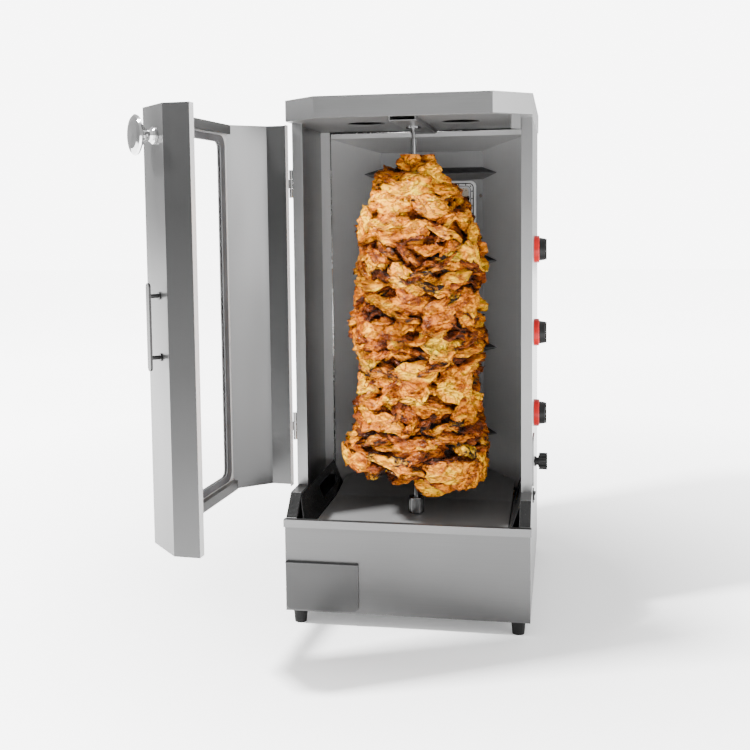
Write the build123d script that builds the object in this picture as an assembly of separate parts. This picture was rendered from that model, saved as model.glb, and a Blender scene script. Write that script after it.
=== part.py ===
"""Vertical gas rotisserie oven (gyros grill) with a swinging glass door.

Millimetres, Z up, front towards -Y.  The origin is the centre of the base
footprint on the plane the feet stand on.  Depths are written as distances
behind the base front panel and turned into Y by F().
"""
import os
from math import atan2, cos, degrees, hypot, radians, sin
from build123d import *

# ---- overall sizes -------------------------------------------------------
WIDTH = 446.0            # over the base side walls
DEPTH = 520.0            # base front panel to back panel
HEIGHT = 963.0           # floor to canopy top
SHEET = 1.5              # cabinet sheet
THIN = 1.2               # reflector and door sheet
FOOT_H = 27.0
FOOT_BOLT_R = 3.3        # holes under the feet for M6 counter bolts
FOOT_BOLT_DEEP = 18.0
BASE_TOP = 184.0         # underside of the front rim
RIM_TOP = 198.0
RIM_OUT = 2.0            # rim overhang at each side
RIM_PROUD = 3.0          # rim overhang at the front
RIM_DEPTH = 12.0
CANOPY_H = 37.0
CANOPY_FRONT = 2.4       # canopy front facet behind the base front panel
CHAMFER_X = 67.0         # corner cut of the canopy, along X
CHAMFER_Y = 60.0         # corner cut of the canopy, along Y

# ---- cabinet -------------------------------------------------------------
POST_Y = 101.0           # front face of the posts
POST_W = 20.0
RAIL_TOP = 236.0
RAIL_FLAT_Y = 48.0       # where the flat rail top turns into the slope
RAIL_FOOT_Y = 9.5
FLANGE_Y = 338.0         # front of the burner box
THROAT_HALF = 201.0      # half width of the burner box mouth
BACK_HALF = 110.0        # half width of the back reflector
REFL_BACK_Y = 428.0
ROOF_FRONT_Z = 911.0     # sloping burner box roof
ROOF_BACK_Z = 885.0
TRAY_Z = 177.0           # top face of the drip tray
TRAY_KNEE_Y = 255.0
TRAY_BACK_Z = 205.0
TRAY_HALF = 180.0
GUARD_TOP = 232.0

# ---- burners and gas -----------------------------------------------------
BURNER_N = 3
DIVIDER_PITCH = 184.7
DIVIDER_LOW_Z = 284.0
DIVIDER_HALF_H = 13.0
DIVIDER_DEEP = 29.5
BURNER_W = 192.0
BURNER_H = 154.0
KNOB_Y = 250.0
KNOB_Z = (359.0, 519.0, 682.0)
KNOB_R = 23.0
KNOB_T = 13.0
KNOB_RISE = 8.0          # knob skirt above the side wall
BEZEL_R = 26.5
BEZEL_T = 10.0
BEZEL_DISH = 6.0         # depth of the dish the knob dips into
TAP_W = 16.0

STAR_SCREW_R = 3.0

# ---- spit ----------------------------------------------------------------
SPIT_Y = 150.0
ROD_R = 5.2
PIN_R = 3.5
CUP_R = 15.0
CUP_H = 30.0
SHAFT_R = 6.0
MEAT_LOW = 224.0
MEAT_TOP = 858.0

# ---- door ----------------------------------------------------------------
DOOR_OPEN = 94.0         # degrees open in this model
DOOR_LOW = 237.4
DOOR_TOP = 921.0
DOOR_OUT = 2.0           # door flank outside the base side wall
DOOR_HALF = WIDTH / 2 + DOOR_OUT
DOOR_CUT_X = 57.0        # corner cut of the door, along X
DOOR_CUT_Y = 59.5        # corner cut of the door, along Y
DOOR_REAR_Y = 97.3
DOOR_FRONT_Y = -5.0
LIP_W = 16.0
HINGE_OUT = 3.5          # hinge axis outside the base side wall
HINGE_X = -WIDTH / 2 - HINGE_OUT
HINGE_Y = 101.0
HINGE_R = 3.2
HINGE_PIN_R = 1.6
HINGE_H = 52.0
HINGE_Z = (351.0, 812.0)
RUN_FIT = 0.05           # radial running clearance of pins in bores
GAP = 0.5                # clearance between moving and fixed sheets
WINDOW_MARGIN = 42.0
GASKET_W = 20.0
LATCH_Z = 875.0
HANDLE_Z = (540.0, 634.0)

# ---- drawer --------------------------------------------------------------
DRAWER_IN = 1.5          # drawer front inside the base side wall
DRAWER_X0 = -WIDTH / 2 + DRAWER_IN
DRAWER_W = 135.0
DRAWER_Z0 = 31.0
DRAWER_Z1 = 122.0
DRAWER_LEN = 215.0

FRONT = -DEPTH / 2
HALF = WIDTH / 2
CANOPY_LOW = HEIGHT - CANOPY_H
ROOF_PLATE_LOW = CANOPY_LOW - SHEET

parts = {}


def F(depth):
    """Y of a point this far behind the base front panel."""
    return FRONT + depth


def block(x0, x1, y0, y1, z0, z1):
    centre = Pos((x0 + x1) / 2, (y0 + y1) / 2, (z0 + z1) / 2)
    return centre * Box(abs(x1 - x0), abs(y1 - y0), abs(z1 - z0))


def prism_x(points, x0, x1):
    """Outline in (Y, Z) pushed along X."""
    face = Plane.YZ.offset(x0) * Polygon(*points, align=None)
    return extrude(face, x1 - x0, dir=(1, 0, 0))


def prism_y(points, y0, y1):
    """Outline in (X, Z) pushed along Y."""
    face = Plane.XZ.offset(-y1) * Polygon(*points, align=None)
    return extrude(face, y1 - y0, dir=(0, -1, 0))


def prism_z(points, z0, z1):
    """Outline in (X, Y) pushed along Z."""
    face = Plane.XY.offset(z0) * Polygon(*points, align=None)
    return extrude(face, z1 - z0, dir=(0, 0, 1))


def rod_x(x0, x1, y, z, r):
    return Pos((x0 + x1) / 2, y, z) * Rot(0, 90, 0) * Cylinder(r, x1 - x0)


def rod_y(x, y0, y1, z, r):
    return Pos(x, (y0 + y1) / 2, z) * Rot(90, 0, 0) * Cylinder(r, y1 - y0)


def rod_z(x, y, z0, z1, r):
    return Pos(x, y, (z0 + z1) / 2) * Cylinder(r, z1 - z0)


def mirror_x(shape):
    return mirror(shape, about=Plane.YZ)


def round_z(shape, r, pick=None):
    edges = shape.edges().filter_by(Axis.Z)
    return fillet(edges, r)


def tube(points, r, bend):
    """Bent pipe through the points."""
    path = FilletPolyline(*points, radius=bend)
    start = Plane(origin=path @ 0, z_dir=path % 0)
    return sweep(start * Circle(r), path=path)


def joined(shapes):
    solids = []
    for shape in shapes:
        solids.extend(shape.solids())
    return Compound(solids)


# ===========================================================================
# Base
# ===========================================================================
hole_x0 = DRAWER_X0 + 8
hole_x1 = DRAWER_X0 + DRAWER_W - 8
hole_z0 = DRAWER_Z0 + 6
hole_z1 = DRAWER_Z1 - 8
panel = block(-HALF, HALF, F(0), F(SHEET), FOOT_H, BASE_TOP)
panel -= block(hole_x0, hole_x1, F(-1), F(SHEET + 1), hole_z0, hole_z1)
parts["base_front_panel"] = panel

inner = HALF - SHEET
bottom = block(-inner, inner, F(SHEET), F(DEPTH - SHEET), FOOT_H, FOOT_H + SHEET)
for x in (-150, -50, 50, 150):
    for y in (330, 370, 410):
        bottom -= block(x - 25, x + 25, F(y), F(y + 8), FOOT_H - 1, FOOT_H + SHEET + 1)
parts["base_bottom_plate"] = bottom

foot_inset = 22.0
foot_x = HALF - foot_inset
feet = []
for x in (-foot_x, foot_x):
    for y in (foot_inset, DEPTH - foot_inset):
        foot = Pos(x, F(y), FOOT_H / 2) * Cone(11.0, 13.5, FOOT_H)
        foot = foot - rod_z(x, F(y), -1, FOOT_BOLT_DEEP, FOOT_BOLT_R)
        feet.append(foot)
parts["feet"] = joined(feet)

# The rim is a folded channel along the front of the base.
rim_half = HALF + RIM_OUT
rim_back = RIM_DEPTH - RIM_PROUD
rim = block(-rim_half, rim_half, F(-RIM_PROUD), F(rim_back), BASE_TOP, RIM_TOP)
rim -= block(-rim_half + SHEET, rim_half - SHEET, F(-RIM_PROUD + SHEET), F(rim_back + 1),
             BASE_TOP + SHEET, RIM_TOP - SHEET)
parts["base_rim"] = rim

# Side walls: each one is a folded sheet with the front post on its edge.
wall_top = ROOF_PLATE_LOW
wall_outline = [
    (F(SHEET), FOOT_H), (F(DEPTH - SHEET), FOOT_H), (F(DEPTH - SHEET), wall_top),
    (F(POST_Y), wall_top), (F(POST_Y), RAIL_TOP), (F(RAIL_FLAT_Y), RAIL_TOP),
    (F(rim_back), RIM_TOP - 1), (F(rim_back), BASE_TOP), (F(SHEET), BASE_TOP),
]
switch_z = 219.0
switch_y = 150.0
hatch_z0 = 243.0
hatch_z1 = 334.0
hatch_y = 150.0
star_z = 285.0


def side_wall(side):
    wall = prism_x(wall_outline, HALF - SHEET, HALF)
    wall += block(HALF - POST_W, HALF, F(POST_Y), F(POST_Y + SHEET), RAIL_TOP, wall_top)
    wall += block(HALF - POST_W, HALF - POST_W + SHEET, F(POST_Y), F(POST_Y + 12),
                  RAIL_TOP, wall_top)
    if side < 0:
        return mirror_x(wall)
    for z in KNOB_Z:
        wall -= rod_x(HALF - 5, HALF + 1, F(KNOB_Y), z, 7.0)
    wall -= block(HALF - 5, HALF + 1, F(switch_y - 9), F(switch_y + 9), switch_z - 9.5, switch_z + 9.5)
    wall -= block(HALF - 5, HALF + 1, F(hatch_y - 22), F(hatch_y + 22), star_z + 12, hatch_z1 - 8)
    # Weld nut for the star knob's screw.
    wall += block(HALF - SHEET - 5, HALF - SHEET, F(hatch_y - 8), F(hatch_y + 8), star_z - 8, star_z + 8)
    wall -= rod_x(HALF - 12, HALF + 1, F(hatch_y), star_z, STAR_SCREW_R + RUN_FIT)
    return wall


parts["side_wall_left"] = side_wall(-1)
parts["side_wall_right"] = side_wall(1)

# Side rails: folded covers with a sloping nose in front of each post.
rail_out = HALF - SHEET
rail_in = HALF - POST_W
slope = atan2(RAIL_TOP - RIM_TOP, RAIL_FLAT_Y - RAIL_FOOT_Y)


def side_rail(side):
    outline = [(F(RAIL_FOOT_Y), RIM_TOP), (F(RAIL_FLAT_Y), RAIL_TOP),
               (F(POST_Y), RAIL_TOP), (F(POST_Y), RIM_TOP)]
    core = [(F(RAIL_FOOT_Y + 4), RIM_TOP - 1), (F(RAIL_FLAT_Y + 0.7), RAIL_TOP - SHEET),
            (F(POST_Y + 1), RAIL_TOP - SHEET), (F(POST_Y + 1), RIM_TOP - 1)]
    rail = prism_x(outline, rail_in, rail_out)
    rail -= prism_x(core, rail_in + SHEET, rail_out + 1)
    return mirror_x(rail) if side < 0 else rail


parts["side_rails"] = joined([side_rail(-1), side_rail(1)])


def nose_pad(side):
    """Black pad laid on the sloping nose of a rail."""
    t = 1.6
    dy, dz = -t * sin(slope), t * cos(slope)
    a = (F(RAIL_FOOT_Y + 1.2), RIM_TOP + 1.2 * sin(slope) / cos(slope))
    b = (F(RAIL_FLAT_Y - 1.0), RAIL_TOP - 1.0 * sin(slope) / cos(slope))
    outline = [a, b, (b[0] + dy, b[1] + dz), (a[0] + dy, a[1] + dz)]
    pad = prism_x(outline, rail_in + 0.5, HALF - 0.5)
    return mirror_x(pad) if side < 0 else pad


parts["rail_nose_pads"] = joined([nose_pad(-1), nose_pad(1)])

# Inner sloping guards beside the tray, black, each with a pressed slot.
guard_rear = FLANGE_Y - 2


def splash_guard(side):
    foot_x = TRAY_HALF + 1.6
    outline = [(foot_x, TRAY_Z + 1), (rail_in - 0.2, GUARD_TOP),
               (rail_in - 0.2, GUARD_TOP - 4), (foot_x + 1.5, TRAY_Z + 1)]
    guard = prism_y(outline, F(rim_back + 2), F(guard_rear))
    nose = [(F(rim_back), RIM_TOP - 2), (F(RAIL_FLAT_Y - 2), GUARD_TOP + 1),
            (F(rim_back), GUARD_TOP + 1)]
    guard -= prism_x(nose, 100, 260)
    mid_x = (foot_x + rail_in) / 2
    slot = block(mid_x - 6, mid_x + 6, F(170), F(310), TRAY_Z + 16, TRAY_Z + 40)
    guard -= slot
    return mirror_x(guard) if side < 0 else guard


parts["splash_guards"] = joined([splash_guard(-1), splash_guard(1)])

# Drip tray: flat pan that climbs towards the back.
tray_front = rim_back + 0.8
tray_back = REFL_BACK_Y - 1
tray_line = [(tray_front, RIM_TOP - 2), (tray_front, TRAY_Z - SHEET), (TRAY_KNEE_Y, TRAY_Z - SHEET),
             (tray_back, TRAY_BACK_Z - SHEET), (tray_back, TRAY_BACK_Z), (TRAY_KNEE_Y, TRAY_Z),
             (tray_front + SHEET, TRAY_Z), (tray_front + SHEET, RIM_TOP - 2)]
tray = prism_x([(F(y), z) for y, z in tray_line], -TRAY_HALF, TRAY_HALF)
throat = FLANGE_Y + (THROAT_HALF - TRAY_HALF)
tray_plan = [(-TRAY_HALF, F(tray_front - 1)), (TRAY_HALF, F(tray_front - 1)),
             (TRAY_HALF, F(throat - 1)), (BACK_HALF, F(tray_back + 1)),
             (-BACK_HALF, F(tray_back + 1)), (-TRAY_HALF, F(throat - 1))]
tray = tray & prism_z(tray_plan, TRAY_Z - 20, RIM_TOP + 40)
tray -= rod_z(0, F(SPIT_Y), TRAY_Z - 5, TRAY_Z + 5, SHAFT_R + 2)
parts["drip_tray"] = tray

seal = rod_z(0, F(SPIT_Y), TRAY_Z, TRAY_Z + 1.6, 11)
seal -= rod_z(0, F(SPIT_Y), TRAY_Z - 1, TRAY_Z + 3, SHAFT_R + 0.4)
parts["shaft_seal"] = seal

# ===========================================================================
# Burner box
# ===========================================================================
hem_r = 1.5


def chamber_flange(side):
    low = 200.0
    strip = block(THROAT_HALF + hem_r, inner, F(FLANGE_Y), F(FLANGE_Y + SHEET), low, wall_top)
    hem = rod_z(THROAT_HALF, F(FLANGE_Y + SHEET / 2), low, ROOF_FRONT_Z + 8, hem_r)
    link = block(THROAT_HALF, THROAT_HALF + hem_r + 1, F(FLANGE_Y), F(FLANGE_Y + SHEET),
                 low, ROOF_FRONT_Z + 8)
    flange = strip + hem + link
    if side < 0:
        return mirror_x(flange)
    for z in KNOB_Z:
        flange -= rod_y(HALF - SHEET - TAP_W / 2, F(FLANGE_Y - 2), F(FLANGE_Y + 4), z, 3.8)
    return flange


parts["burner_box_flanges"] = joined([chamber_flange(-1), chamber_flange(1)])

roof_slope = (ROOF_FRONT_Z - ROOF_BACK_Z) / (REFL_BACK_Y - FLANGE_Y)


def roof_z(y):
    return ROOF_FRONT_Z - (y - FLANGE_Y) * roof_slope


splay_y0 = FLANGE_Y + SHEET + 0.9


def reflector_side(side):
    x0, y0 = THROAT_HALF, splay_y0
    x1, y1 = BACK_HALF, REFL_BACK_Y
    run = hypot(x0 - x1, y1 - y0)
    nx, ny = THIN * (y1 - y0) / run, THIN * (x0 - x1) / run
    outline = [(x0, F(y0)), (x1, F(y1)), (x1 + nx, F(y1 + ny)), (x0 + nx, F(y0 + ny))]
    sheet = prism_z(outline, TRAY_Z + 1, ROOF_FRONT_Z + 2)
    above = [(F(FLANGE_Y - 10), roof_z(FLANGE_Y - 10)), (F(REFL_BACK_Y + 10), roof_z(REFL_BACK_Y + 10)),
             (F(REFL_BACK_Y + 10), HEIGHT), (F(FLANGE_Y - 10), HEIGHT)]
    sheet -= prism_x(above, 0, 300)
    return mirror_x(sheet) if side < 0 else sheet


parts["reflector_left"] = reflector_side(-1)
parts["reflector_right"] = reflector_side(1)

burner_z = [DIVIDER_LOW_Z + DIVIDER_PITCH * (i + 0.5) for i in range(BURNER_N)]
back = block(-BACK_HALF, BACK_HALF, F(REFL_BACK_Y + 0.2), F(REFL_BACK_Y + 0.2 + THIN),
             TRAY_BACK_Z - 10, ROOF_BACK_Z)
for z in burner_z:
    back -= block(-BURNER_W / 2 + 6, BURNER_W / 2 - 6, F(REFL_BACK_Y - 2), F(REFL_BACK_Y + 4),
                  z - BURNER_H / 2 + 6, z + BURNER_H / 2 - 6)
parts["reflector_back"] = back

# Roof of the burner box with its upright front lip.
roof_line = [(FLANGE_Y, wall_top - 3), (FLANGE_Y, roof_z(FLANGE_Y)), (REFL_BACK_Y, roof_z(REFL_BACK_Y)),
             (REFL_BACK_Y, roof_z(REFL_BACK_Y) + THIN), (FLANGE_Y + THIN, roof_z(FLANGE_Y) + THIN),
             (FLANGE_Y + THIN, wall_top - 3)]
roof_half = THROAT_HALF - hem_r - 0.2
roof = prism_x([(F(y), z) for y, z in roof_line], -roof_half, roof_half)
roof_plan = [(-roof_half, F(FLANGE_Y - 1)), (roof_half, F(FLANGE_Y - 1)),
             (roof_half, F(FLANGE_Y + 3)), (BACK_HALF + 1, F(REFL_BACK_Y + 1)),
             (-BACK_HALF - 1, F(REFL_BACK_Y + 1)), (-roof_half, F(FLANGE_Y + 3))]
parts["burner_box_roof"] = roof & prism_z(roof_plan, ROOF_BACK_Z - 5, HEIGHT)

# Wedge-shaped dividers between the burners.
ridge_y = REFL_BACK_Y - DIVIDER_DEEP
plan_gap = 0.4
splay_rate = (THROAT_HALF - BACK_HALF) / (REFL_BACK_Y - splay_y0)


def splay_x(y):
    return BACK_HALF + (REFL_BACK_Y - y) * splay_rate - plan_gap


dividers = []
for i in range(BURNER_N + 1):
    z = DIVIDER_LOW_Z + DIVIDER_PITCH * i
    outline = [(F(ridge_y), z + 0.8), (F(REFL_BACK_Y - 0.1), z + DIVIDER_HALF_H),
               (F(REFL_BACK_Y - 0.1), z - DIVIDER_HALF_H), (F(ridge_y), z - 0.8)]
    wedge = prism_x(outline, -THROAT_HALF, THROAT_HALF)
    plan = [(-splay_x(ridge_y - 2), F(ridge_y - 2)), (splay_x(ridge_y - 2), F(ridge_y - 2)),
            (splay_x(REFL_BACK_Y), F(REFL_BACK_Y)), (-splay_x(REFL_BACK_Y), F(REFL_BACK_Y))]
    wedge = wedge & prism_z(plan, z - 40, z + 40)
    dividers.append(wedge)
parts["burner_dividers"] = joined(dividers)

# Burners: frame in front of the back reflector, tile block, mixing box behind.
frames = []
tiles = []
boxes = []
screws = []
frame_front = REFL_BACK_Y - 6.0
tile_back = REFL_BACK_Y + 14.0
box_back = REFL_BACK_Y + 44.0
for z in burner_z:
    frame = block(-BURNER_W / 2, BURNER_W / 2, F(frame_front), F(REFL_BACK_Y + 0.1),
                  z - BURNER_H / 2, z + BURNER_H / 2)
    frame = fillet(frame.edges().filter_by(Axis.Y), 12)
    frame = fillet(frame.faces().sort_by(Axis.Y)[0].edges(), 2.5)
    opening = block(-BURNER_W / 2 + 16, BURNER_W / 2 - 16, F(frame_front - 1), F(REFL_BACK_Y + 1),
                    z - BURNER_H / 2 + 16, z + BURNER_H / 2 - 16)
    opening = fillet(opening.edges().filter_by(Axis.Y), 6)
    frame -= opening
    frames.append(frame)
    tile = block(-BURNER_W / 2 + 8, BURNER_W / 2 - 8, F(REFL_BACK_Y + 0.2), F(tile_back),
                 z - BURNER_H / 2 + 8, z + BURNER_H / 2 - 8)
    tiles.append(tile)
    body = block(-BURNER_W / 2 + 6.5, BURNER_W / 2 - 6.5, F(REFL_BACK_Y + 2.2), F(box_back),
                 z - BURNER_H / 2 + 6.5, z + BURNER_H / 2 - 6.5)
    body -= block(-BURNER_W / 2 + 8, BURNER_W / 2 - 8, F(REFL_BACK_Y), F(box_back - SHEET),
                  z - BURNER_H / 2 + 8, z + BURNER_H / 2 - 8)
    body -= rod_x(BURNER_W / 2 - 9, BURNER_W / 2, F(box_back - 15), z, 6)
    boxes.append(body)
    for sx in (-1, 1):
        for sz in (-1, 1):
            x = sx * (BACK_HALF - 4.5)
            screws.append(rod_y(x, F(REFL_BACK_Y - 2.6), F(REFL_BACK_Y + 0.2), z + sz * 45, 3.5))
parts["burner_frames"] = joined(frames)
parts["burner_tiles"] = joined(tiles)
parts["burner_mixing_boxes"] = joined(boxes)
parts["burner_screws"] = joined(screws)

# ===========================================================================
# Gas train behind the right-hand liner
# ===========================================================================
liner_x = HALF - POST_W + 0.2
parts["control_liner"] = block(liner_x, liner_x + THIN, F(POST_Y + 13), F(FLANGE_Y - 0.5),
                               RAIL_TOP + 2, wall_top - 2)

tap_x1 = inner
tap_x0 = tap_x1 - TAP_W
manifold_y = KNOB_Y - 26.0
manifold_x = (tap_x0 + tap_x1) / 2
pipe_r = 5.0
taps = []
plugs = []
feeds = []
for i, z in enumerate(KNOB_Z):
    tap = block(tap_x0, tap_x1, F(KNOB_Y - 13), F(KNOB_Y + 13), z - 13, z + 13)
    tap += rod_y(manifold_x, F(manifold_y + pipe_r - 1), F(KNOB_Y - 12), z, 5.0)
    tap += rod_y(manifold_x, F(KNOB_Y + 12), F(KNOB_Y + 24), z, 5.0)
    tap -= rod_x(tap_x0 + 3, tap_x1 + 1, F(KNOB_Y), z, 6.0 + RUN_FIT)
    tap -= rod_z(manifold_x, F(manifold_y), z - 20, z + 20, pipe_r)
    tap -= rod_y(manifold_x, F(KNOB_Y + 18), F(KNOB_Y + 25), z, 3.0)
    taps.append(tap)
    run_y = REFL_BACK_Y + 29
    feed = tube([(manifold_x, F(KNOB_Y + 18), z), (manifold_x, F(run_y), z),
                 (manifold_x, F(run_y), burner_z[i]), (BURNER_W / 2 - 7, F(run_y), burner_z[i])], 3.0, 6.0)
    feeds.append(feed)
parts["gas_taps"] = joined(taps)
parts["burner_feed_pipes"] = joined(feeds)

inlet_z = 120.0
inlet_x = 170.0
manifold = tube([(manifold_x, F(manifold_y), KNOB_Z[2] + 22), (manifold_x, F(manifold_y), inlet_z),
                 (inlet_x, F(manifold_y), inlet_z),
                 (inlet_x, F(DEPTH - SHEET - 22), inlet_z)], pipe_r, 14.0)
parts["gas_manifold"] = manifold

# Threaded supply nipple, half inch pipe size.
NIPPLE_R = 10.48
nipple = rod_y(inlet_x, F(DEPTH - SHEET - 22), F(DEPTH + 30), inlet_z, NIPPLE_R)
nut = Pos(inlet_x, F(DEPTH + 4), inlet_z) * Rot(90, 0, 0) * extrude(RegularPolygon(14.5, 6), 4, both=True)
nipple += nut
nipple -= rod_y(inlet_x, F(DEPTH - SHEET - 24), F(DEPTH + 31), inlet_z, 7.0)
nipple += rod_y(inlet_x, F(DEPTH - SHEET - 22), F(DEPTH - SHEET - 18), inlet_z, 8.0)
parts["gas_inlet_nipple"] = nipple

# Tap plug turns; the knob and its stem also push in along it.
stem_r = 3.0
push = 3.0
bezels = []
for i, z in enumerate(KNOB_Z):
    plug = rod_x(tap_x0 + 3.5, HALF - 2.5, F(KNOB_Y), z, 6.0)
    plug -= block(tap_x0 + 8, HALF, F(KNOB_Y - stem_r + 1), F(KNOB_Y + stem_r), z - stem_r, z + stem_r)
    parts["tap_plug_%d" % (i + 1)] = plug
    stem = block(tap_x0 + 8.5 + push, HALF + 12, F(KNOB_Y - stem_r + 1.1), F(KNOB_Y + stem_r - 0.1),
                 z - stem_r + 0.1, z + stem_r - 0.1)
    knob_mid = HALF + KNOB_RISE + KNOB_T / 2
    knob_end = HALF + KNOB_RISE + KNOB_T
    face = Pos(knob_mid, F(KNOB_Y), z) * Rot(0, 90, 0) * Cone(KNOB_R, KNOB_R - 2.0, KNOB_T)
    knob = face + stem
    grip = block(knob_end - 1, knob_end + 3, F(KNOB_Y - 3.5), F(KNOB_Y + 3.5), z - KNOB_R + 3, z + KNOB_R - 3)
    knob += grip
    parts["gas_knob_%d" % (i + 1)] = knob
    bezel = rod_x(HALF, HALF + BEZEL_T, F(KNOB_Y), z, BEZEL_R)
    bezel = fillet(bezel.edges().filter_by(GeomType.CIRCLE).sort_by(Axis.X)[-1], 2.0)
    bezel -= rod_x(HALF + BEZEL_T - BEZEL_DISH, HALF + BEZEL_T + 1, F(KNOB_Y), z, KNOB_R + 1.0)
    bezel -= rod_x(HALF - 1, HALF + BEZEL_T, F(KNOB_Y), z, 7.0)
    bezels.append(bezel)
parts["knob_bezels"] = joined(bezels)

# ===========================================================================
# Side hatch with star knob, rocker switch, cable gland
# ===========================================================================
hatch = block(HALF, HALF + 2.5, F(hatch_y - 30), F(hatch_y + 30), hatch_z0, hatch_z1)
hatch = fillet(hatch.edges().filter_by(Axis.X), 6)
hatch -= rod_x(HALF - 1, HALF + 4, F(hatch_y), star_z, STAR_SCREW_R + 0.4)
parts["side_hatch"] = hatch

star = rod_x(inner - 9, HALF + 20, F(hatch_y), star_z, STAR_SCREW_R)
star += rod_x(HALF + 2.5 + GAP, HALF + 6, F(hatch_y), star_z, 9.5)
star += rod_x(HALF + 6, HALF + 12, F(hatch_y), star_z, 7.5)
star += rod_x(HALF + 10, HALF + 27, F(hatch_y), star_z, 11.0)
for k in range(5):
    a = radians(90 + 72 * k)
    star += rod_x(HALF + 11.5, HALF + 27, F(hatch_y + 11.5 * cos(a)), star_z + 11.5 * sin(a), 4.8)
parts["star_knob"] = star

switch = block(HALF, HALF + 2.0, F(switch_y - 11), F(switch_y + 11), switch_z - 11.5, switch_z + 11.5)
switch += block(HALF - 15, HALF, F(switch_y - 8.8), F(switch_y + 8.8), switch_z - 9.3, switch_z + 9.3)
switch -= block(HALF - 7, HALF + 3, F(switch_y - 6.5), F(switch_y + 6.5), switch_z - 8.3, switch_z + 8.3)
parts["rocker_switch_body"] = switch
rocker_tilt = 9.0
pivot_x = HALF - 0.5
lean = Pos(pivot_x, 0, switch_z) * Rot(0, rocker_tilt, 0) * Pos(-pivot_x, 0, -switch_z)
rocker = prism_y([(pivot_x - 3, switch_z - 2), (pivot_x - 3, switch_z + 2), (pivot_x + 2, switch_z + 7.2),
                  (pivot_x + 5.5, switch_z + 7.2), (pivot_x + 3.5, switch_z), (pivot_x + 5.5, switch_z - 7.2),
                  (pivot_x + 2, switch_z - 7.2)], F(switch_y - 6), F(switch_y + 6))
parts["switch_rocker"] = lean * rocker

gland_x = -150.0
gland_z = 90.0
gland = rod_y(gland_x, F(DEPTH - SHEET - 8), F(DEPTH + 16), gland_z, 8.0)
gland += Pos(gland_x, F(DEPTH + 3), gland_z) * Rot(90, 0, 0) * extrude(RegularPolygon(13, 6), 3, both=True)
gland += Pos(gland_x, F(DEPTH + 18), gland_z) * Rot(90, 0, 0) * Cone(11, 9.5, 10)
gland -= rod_y(gland_x, F(DEPTH - SHEET - 9), F(DEPTH + 30), gland_z, 4.0)
parts["cable_gland"] = gland

# Back panel with vent slots, screwed to the walls' rear edges.
rear = block(-HALF, HALF, F(DEPTH - SHEET), F(DEPTH), FOOT_H, ROOF_PLATE_LOW)
for j in range(7):
    z = 560 + 34 * j
    slot = block(-120, 120, F(DEPTH - 4), F(DEPTH + 2), z, z + 10)
    rear -= slot
for j in range(5):
    z = 250 + 34 * j
    rear -= block(-120, 120, F(DEPTH - 4), F(DEPTH + 2), z, z + 10)
rear -= rod_y(inlet_x, F(DEPTH - 4), F(DEPTH + 2), inlet_z, NIPPLE_R)
rear -= rod_y(gland_x, F(DEPTH - 4), F(DEPTH + 2), gland_z, 8.0)
back_screws = []
for x in (-HALF + 12, 0, HALF - 12):
    for z in (60, 480, 905):
        rear -= rod_y(x, F(DEPTH - 4), F(DEPTH + 2), z, 2.0)
        screw = rod_y(x, F(DEPTH), F(DEPTH + 2.2), z, 4.0)
        screw += rod_y(x, F(DEPTH - SHEET - 4), F(DEPTH + 0.5), z, 2.0)
        back_screws.append(screw)
parts["back_panel"] = rear
parts["back_panel_screws"] = joined(back_screws)

# ===========================================================================
# Drive motor
# ===========================================================================
deck_z = 148.0
leg_x = 84.0
y0, y1 = SPIT_Y - 50, SPIT_Y + 50
bracket = block(-leg_x, leg_x, F(y0), F(y1), deck_z, deck_z + 3)
for x in (-leg_x, leg_x - 3):
    bracket += block(x, x + 3, F(y0), F(y1), FOOT_H + SHEET, deck_z)
bracket -= rod_z(0, F(SPIT_Y), deck_z - 1, deck_z + 4, SHAFT_R + 3)
parts["motor_bracket"] = bracket

gearbox = block(-45, 45, F(SPIT_Y - 35), F(SPIT_Y + 35), deck_z - 50, deck_z)
gearbox = fillet(gearbox.edges().filter_by(Axis.Z), 8)
gearbox += rod_z(0, F(SPIT_Y), deck_z - 112, deck_z - 48, 30)
gearbox -= rod_z(0, F(SPIT_Y), deck_z - 30, deck_z + 1, SHAFT_R + RUN_FIT)
parts["gear_motor"] = gearbox

# ===========================================================================
# Spit
# ===========================================================================
cup_low = TRAY_Z + 2.4
cup = rod_z(0, F(SPIT_Y), cup_low, cup_low + CUP_H, CUP_R)
cup = fillet(cup.edges().filter_by(GeomType.CIRCLE).sort_by(Axis.Z)[-1], 2.0)
for k in range(10):
    a = radians(36 * k)
    cup -= rod_z((CUP_R + 0.6) * cos(a), F(SPIT_Y) + (CUP_R + 0.6) * sin(a), cup_low + 3,
                 cup_low + CUP_H - 5, 1.6)
cup -= rod_z(0, F(SPIT_Y), cup_low + 10, cup_low + CUP_H + 1, ROD_R)
cup += rod_z(0, F(SPIT_Y), deck_z - 28, cup_low + 1, SHAFT_R)
parts["drive_cup"] = cup

rod_low = cup_low + 10
rod_top = 896.0
spit = rod_z(0, F(SPIT_Y), rod_low, rod_top, ROD_R)
spit = chamfer(spit.edges().filter_by(GeomType.CIRCLE).sort_by(Axis.Z)[-1], 1.2)
spit += rod_z(0, F(SPIT_Y), rod_top - 1, CANOPY_LOW + 6, PIN_R)
spit -= rod_y(0, F(SPIT_Y - 10), F(SPIT_Y + 10), 866, 2.0)
parts["spit_rod"] = spit

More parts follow.
